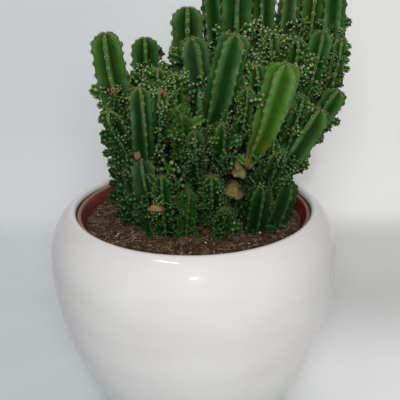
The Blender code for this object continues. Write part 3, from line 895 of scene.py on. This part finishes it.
def outline(name):
    """The section of a turned CAD node as (radius, height) points, from its inner floor's edge
    over the rim to its base's edge."""
    points, edges = node_points(name)
    radius = np.hypot(points[:, 0], points[:, 1])
    angle = np.abs(np.arctan2(points[:, 1], points[:, 0]))
    keys = [tuple(key) for key in np.round(np.stack([radius, points[:, 2]], -1), 1).tolist()]
    on_line = (angle < 0.001) & (radius > FLOOR_EDGE)
    links = defaultdict(set)
    for pair in edges[on_line[edges].all(1)]:
        met = {keys[index] for index in pair}
        for key in met:
            links[key] |= met - {key}
    ends = [key for key in links if len(links[key]) == 1]
    line = [max(ends, key=lambda key: key[1])]
    while ahead := links[line[-1]].difference(line):
        line.append(min(ahead))
    return np.array(line)


def smoothed(line, step):
    """An outline with points every `step` along smooth curves between its sharp corners."""
    ways = np.diff(line, axis=0)
    lengths = np.linalg.norm(ways, axis=1)
    ways = ways / lengths[:, None]
    leave, arrive = ways.copy(), ways.copy()
    for corner in range(1, len(line) - 1):
        before, after = ways[corner - 1], ways[corner]
        if math.acos(np.clip(before @ after, -1, 1)) < CORNER:
            heading = unit(before * lengths[corner] + after * lengths[corner - 1])
            leave[corner] = arrive[corner - 1] = heading
    curve = []
    for index, length in enumerate(lengths):
        count = max(1, round(length / step))
        share = (np.arange(count) / count)[:, None]
        start, end = line[index], line[index + 1]
        curve.append((1 + 2 * share) * (1 - share) ** 2 * start + share ** 2 * (3 - 2 * share) * end
                     + length * (share * (1 - share) ** 2 * leave[index]
                                 - share ** 2 * (1 - share) * arrive[index]))
    return np.vstack([*curve, line[-1:]])


def turned_piece(line, sides, wave=0.0):
    """A closed body turned from an outline whose ends are joined to the axis by flat floors."""
    angle = turns(sides)
    radius, height = line[:, 0, None], line[:, 1, None]
    radius = radius + wave * (np.sin(2 * angle + 0.6) + 0.5 * np.sin(3 * angle + height / 19))
    piece = Piece()
    base, floor = ((0, 0, line[end, 1]) for end in (-1, 0))
    piece.add(*closed_tube(around(radius, angle, height), base, floor, True))
    return piece


def glaze_material():
    glaze = Finish("cachepot_glaze", (217, 214, 211))
    glaze.cover((221, 219, 217), glaze.noise(38, 2), 0.3, 0.7)
    bands = glaze.noise(16, 2, 0.5, (0.12, 0.12, 1.0))
    glaze.cover((211, 206, 200), bands, 0.52, 0.66, 0, 0.35)
    middle, places = glaze.noise(9), glaze.span(glaze.noise(11), 0.5, 0.62)
    specks = glaze.times(glaze.span(glaze.cells(3.4), 0.085, 0.05), places, 0.5)
    glaze.cover((168, 150, 128), specks)
    height = glaze.maths("ADD", glaze.times(middle, 0.35), bands)
    return glaze.done(glaze.span(middle, 0.2, 0.8, 0.07, 0.13), height, 0.12, 0.4)


def plastic_material(rim):
    plastic = Finish("nursery_plastic", (106, 36, 16))
    plastic.cover((76, 24, 10), plastic.noise(14), 0.3, 0.7)
    # painted highlight: the top of the rim is paler where light falls on it
    plastic.cover((138, 98, 80), plastic.axes()[2], (rim - 0.9) * MM, (rim - 0.1) * MM)
    dust = plastic.span(plastic.noise(3.5, 4), 0.5, 0.72, 0, 0.45)
    plastic.cover((146, 98, 70), dust)
    scuffs = plastic.noise(1.4, 3, 0.6, (1, 1, 0.15))
    plastic.cover((96, 38, 28), scuffs, 0.6, 0.75, 0, 0.35)
    return plastic.done(plastic.span(dust, 0, 0.5, 0.36, 0.7), scuffs, 0.04)


def build_pots():
    line = smoothed(outline("cache_pot"), 2.0)
    place_body("cachepot_fine", turned_piece(line, 168, GLAZE_WAVE), "cache_pot", glaze_material())

    line = smoothed(outline("nursery_pot"), 2.8)
    rim = line[:, 1].max()
    line[:, 0] += RIM_FLARE * np.clip((line[:, 1] - rim) / RIM_DEPTH + 1, 0, 1)
    piece = turned_piece(line, 132)
    nursery = place_body("nursery_pot_fine", piece, "nursery_pot", plastic_material(rim))
    holes = Piece()
    peg = turned_piece(np.array(((DRAIN_HOLE_RADIUS, 20.0), (DRAIN_HOLE_RADIUS, 5.0))), 32)
    for turn in turns(DRAIN_HOLES):
        holes.add(peg.points[0] + around(DRAIN_CIRCLE, turn), peg.faces)
    cutter = holes.built("drain_holes")
    cut = nursery.modifiers.new("drain_holes", "BOOLEAN")
    cut.object, cut.operation, cut.solver = cutter, "DIFFERENCE", "EXACT"
    graph = bpy.context.evaluated_depsgraph_get()
    nursery.data = bpy.data.meshes.new_from_object(nursery.evaluated_get(graph))
    nursery.modifiers.clear()
    bpy.data.objects.remove(cutter)
    nursery.data.shade_smooth()
    nursery.data.set_sharp_from_angle(angle=CORNER)


# ------------ soil
SOIL_RINGS = 56
SOIL_SIDES = 180
SOIL_ROUGH = 1.6  # height of the soil's lumps
CHIP, FIBRE, FLECK = 0.35, 0.75, 1.0  # what the soil's material tells its bits apart by
BITS = {CHIP: 750, FIBRE: 1500, FLECK: 90}
BIT_SIZES = {CHIP: (0.9, 3.2), FLECK: (0.8, 1.9)}


def lumps(points, size, rng):
    """A smooth random height of about -1 to 1 at points (n, 2), with lumps of a size."""
    total = np.zeros(len(points))
    for _ in range(14):
        turn, phase = rng.uniform(0, math.tau, 2)
        wave = math.tau / size * rng.uniform(0.6, 1.5)
        total += np.sin(wave * (points @ (math.cos(turn), math.sin(turn))) + phase)
    return total / 4


def soil_height(points, line):
    """Height of the soil's surface at points (n, 2), lumps included."""
    rng = np.random.default_rng(SEED + 1)
    radius = np.hypot(points[:, 0], points[:, 1])
    rough = 0.5 * lumps(points, 17, rng) + 0.3 * lumps(points, 6, rng) + 0.22 * lumps(points, 2.6, rng)
    settle = np.clip((line[-1, 0] - radius) / 4, 0.15, 1)
    return np.interp(radius, line[:, 0], line[:, 1]) + SOIL_ROUGH * rough * settle


def chip(rng):
    """A flat crumb of peat or bark, about one unit across."""
    length, width, height = rng.uniform(0.7, 1.2), rng.uniform(0.4, 0.8), rng.uniform(0.2, 0.45)
    angle = math.tau * (np.arange(6) + rng.uniform(-0.3, 0.3, 6)) / 6
    ring = np.stack([length / 2 * np.cos(angle), width / 2 * np.sin(angle),
                     rng.uniform(-0.06, 0.06, 6)], -1)
    upper = ring * (0.62, 0.62, 1) + np.array((0, 0, height / 2)) + rng.uniform(-0.06, 0.06, (6, 3))
    lower = ring * (0.6, 0.6, 1) - np.array((0, 0, height / 2))
    return closed_tube(np.stack([lower, ring, upper]), (0, 0, height * 0.6), (0, 0, -height * 0.6))


def fibre(length, rng):
    """A thin bent root fibre that lies along X."""
    share = np.linspace(0, 1, 6)
    bend = rng.uniform(-0.14, 0.14, 2) * length
    line = np.stack([(share - 0.5) * length, bend[0] * np.sin(math.pi * share),
                     0.5 * abs(bend[1]) * np.sin(math.pi * share) + 0.1], -1)
    thick = rng.uniform(0.09, 0.26) * (1 - 0.5 * share)
    ring = np.roll(around(1, turns(3)), 1, axis=-1)
    points = (line[:, None] + thick[:, None, None] * ring).reshape(-1, 3)
    return points, [tube_faces(6, 3), np.array([(15, 16, 17), (2, 1, 0)])]


def soil_material():
    soil = Finish("peat")
    crest, tone = soil.value("crest"), soil.value("tone")
    fine, middle = soil.noise(0.8, 4, 0.65), soil.noise(3.5)
    soil.colour = soil.ramp(fine, (0.25, (30, 19, 12)), (0.5, (80, 58, 41)), (0.75, (124, 98, 72)))
    soil.cover((40, 25, 18), middle, 0.42, 0.58, 0, 0.7)
    soil.cover((128, 104, 80), soil.noise(8), 0.5, 0.7, 0, 0.6)
    chips = soil.ramp(tone, (0.0, (42, 28, 20)), (0.5, (92, 68, 46)), (1.0, (136, 112, 80)))
    fibres = soil.ramp(tone, (0.0, (84, 64, 46)), (0.5, (128, 106, 82)), (1.0, (172, 154, 128)))
    soil.cover(chips, crest, 0.1, 0.2)
    soil.cover(fibres, crest, 0.5, 0.6)
    soil.cover((214, 204, 176), crest, 0.85, 0.95)
    soil.cover((40, 26, 20), fine, 0.2, 0.8, 0.0, 0.4)
    return soil.done(soil.span(fine, 0.2, 0.8, 0.85, 0.97), soil.maths("ADD", fine, middle), 0.5, 0.2)


def scattered_bit(kind, edge, line, rng):
    """Points and faces of one bit that lies on the soil, or none where it would touch the pot."""
    spread = edge * math.sqrt(rng.uniform(0.22, 0.95))
    turn, spin = rng.uniform(0, math.tau, 2)
    place = around(spread, turn)[:2]
    if kind == FIBRE:
        bit, faces = fibre(2 + 9 * rng.beta(1.2, 2.4), rng)
    else:
        bit, faces = chip(rng)
        bit = bit * rng.uniform(*BIT_SIZES[kind])
    lean, roll = rng.normal(0, 0.2, 2)
    tilt = np.array(((1, 0, -lean), (0, 1, -roll), (lean, roll, 1)))
    cos, sin = math.cos(spin), math.sin(spin)
    bit = bit @ tilt.T @ np.array(((cos, -sin, 0), (sin, cos, 0), (0, 0, 1))).T
    bit[:, :2] += place
    if np.hypot(bit[:, 0], bit[:, 1]).max() > edge - 0.3:
        return None
    below, lift = (bit[:, :2], 0.15) if kind == FIBRE else (place[None], 0.1)
    bit[:, 2] += soil_height(below, line) + lift
    return bit, faces


def build_soil():
    rng = np.random.default_rng(SEED + 2)
    points, _ = node_points("soil")
    radius = np.hypot(points[:, 0], points[:, 1])
    edge, foot_height, crown = radius.max(), points[:, 2].min(), points[:, 2].max()
    edge_height = points[radius > edge - 0.2, 2].max()
    foot = radius[points[:, 2] < foot_height + 0.2].max()
    reach = np.linspace(0, 1, 12)
    line = np.stack([edge * reach, edge_height + (crown - edge_height) * (1 - reach ** 2)], -1)
    rings = edge * (np.arange(1, SOIL_RINGS + 1) / SOIL_RINGS) ** 0.85
    angle = turns(SOIL_SIDES)
    top = around(rings[:, None], angle)
    top[..., 2] = soil_height(top[..., :2].reshape(-1, 2), line).reshape(top.shape[:2])
    points = np.concatenate([top, around(foot, angle, foot_height)[None]])
    piece = Piece()
    piece.add(*closed_tube(points, (0, 0, foot_height), (0, 0, crown), True))
    for kind, count in BITS.items():
        for _ in range(count):
            bit = scattered_bit(kind, edge, line, rng)
            if bit:
                piece.add(*bit, crest=kind, tone=rng.uniform(0, 1))
    place_body("soil_fine", piece, "soil", soil_material())


# ------------ floor and backdrop
SHEET_REACH = 800  # how far the floor and the wall reach
WALL = 235  # distance of the wall behind the pot's axis
WALL_CURVE = 90  # radius of the curve in which it rises from the floor


def add_sheet(name, profile, material):
    """A sheet of the stage: (y, z) points drawn out along X, which face the front and up."""
    piece = Piece()
    faces = 2 * np.arange(len(profile) - 1)[:, None] + (0, 1, 3, 2)
    piece.add(np.array([(side * SHEET_REACH, y, z) for y, z in profile for side in (-1, 1)]), [faces])
    sheet = piece.built(name, material)
    return sheet


def card_material():
    """Pale card that fades out into the room away from the pot, and is clear from behind."""
    card = Finish("backdrop_card", (200, 206, 208))
    across, back, up = card.axes()
    card.cover((205, 210, 212), card.noise(60, 2), 0.3, 0.7)
    # painted shadow: the floor to the right of the pot is a little darker
    card.cover((201, 202, 200), across, 0.03, 0.1)
    # painted pool of light on the floor in front of the pot, to the right
    card.cover((234, 235, 234), card.times(card.span(across, 0.03, 0.085), card.span(back, 0.14, 0.03)))
    # painted light: the wall gets lighter towards the right
    wall_painted_lighter_right = card.mix(card.span(across, -0.1, 0.14), (218, 220, 222), (240, 239, 237))
    card.cover(wall_painted_lighter_right, up, 0.014, 0.034)
    distance = card.feed(card.node("ShaderNodeVectorMath", operation="LENGTH"), card.place)["Value"]
    front = card.maths("SUBTRACT", 1.0, card.node("ShaderNodeNewGeometry").outputs["Backfacing"])
    card.feed(card.shader, Alpha=card.times(card.span(distance, 0.75, 0.36), front))
    return card.done(0.8)


def add_stage():
    """A floor, and a wall that rises from it in a curve and casts no shadow on the object."""
    material = card_material()
    add_sheet("floor", [(-SHEET_REACH, 0), (SHEET_REACH, 0)], material)
    foot, above = WALL - WALL_CURVE, WALL_CURVE + 0.2
    curve = [(foot + WALL_CURVE * math.sin(a), above - WALL_CURVE * math.cos(a))
             for a in np.linspace(0, math.pi / 2, 17)]
    add_sheet("backdrop", curve + [(WALL, SHEET_REACH)], material).visible_shadow = False


# ------------ lights and camera
CAMERA_TILT = 22.13  # degrees below the horizon
CAMERA_AIM = 122  # height of the point on the pot's axis that the camera faces
CAMERA_DISTANCE = 550  # from that point
LENS = 91.68
FRAME_SHIFT = (0.0165, 0.01775)
CAMERA_ROLL = 0.7  # in degrees
# name, place, height aimed at, size, power, and whether glossy surfaces show it
LAMPS = (
    ("flash", (0.0, -1.05, 0.7), 0.13, (0.03, 0.03), 2.2, True),
    ("ceiling", (-0.28, -0.43, 1.0), 0.13, (0.26, 0.05), 0.9, True),
    ("front", (0.0, -1.07, 0.68), 0.1, (0.4, 0.4), 8.8, False),
    ("sky", (0.2, -0.45, 1.25), 0.1, (0.9, 0.9), 1.2, False),
    ("side", (1.1, -0.6, 0.5), 0.1, (0.6, 0.6), 0.7, False),
    ("back", (0.0, 1.1, 0.8), 0.1, (0.7, 0.7), 4.2, False),
)


def add_camera():
    tilt = math.radians(CAMERA_TILT)
    camera = new_object("camera", bpy.data.cameras.new("camera"))
    camera.location = (0, -CAMERA_DISTANCE * math.cos(tilt) * MM,
                       (CAMERA_AIM + CAMERA_DISTANCE * math.sin(tilt)) * MM)
    camera.rotation_mode = "QUATERNION"
    level = Vector((0, math.cos(tilt), -math.sin(tilt))).to_track_quat("-Z", "Y")
    camera.rotation_quaternion = level @ Quaternion((0, 0, 1), -math.radians(CAMERA_ROLL))
    camera.data.lens, camera.data.clip_start = LENS, 0.01
    camera.data.shift_x, camera.data.shift_y = FRAME_SHIFT
    SCENE.camera = camera


def add_lamp(name, place, aim, size, power, glossy):
    light = bpy.data.lights.new(name, "AREA")
    light.shape, light.size, light.size_y = "RECTANGLE", *size
    light.energy = power
    lamp = new_object(name, light)
    lamp.location = place
    lamp.rotation_euler = (Vector((0, 0, aim)) - Vector(place)).to_track_quat("-Z", "Y").to_euler()
    lamp.visible_glossy = glossy


def add_room():
    """A world that lights the object weakly and shows a pale room, also in glossy surfaces."""
    world = bpy.data.worlds.new("room")
    SCENE.world = world
    room = Nodes(world)
    light = room.feed(room.tree.nodes["Background"], (0.95, 0.98, 1.0, 1), 0.1)[0]
    seen = room.feed(room.node("ShaderNodeBackground"), srgb(212, 215, 216))[0]
    path = room.node("ShaderNodeLightPath").outputs
    shown = path["Is Camera Ray"]
    for kind in ("Is Glossy Ray", "Is Transmission Ray"):
        shown = room.maths("MAXIMUM", shown, path[kind])
    mixed = room.feed(room.node("ShaderNodeMixShader"), shown, light, seen)
    room.feed(room.tree.nodes["World Output"], mixed[0])


build_plant()
build_pots()
build_soil()
add_stage()
for lamp in LAMPS:
    add_lamp(*lamp)
add_room()
add_camera()
SCENE.view_settings.view_transform = "Standard"
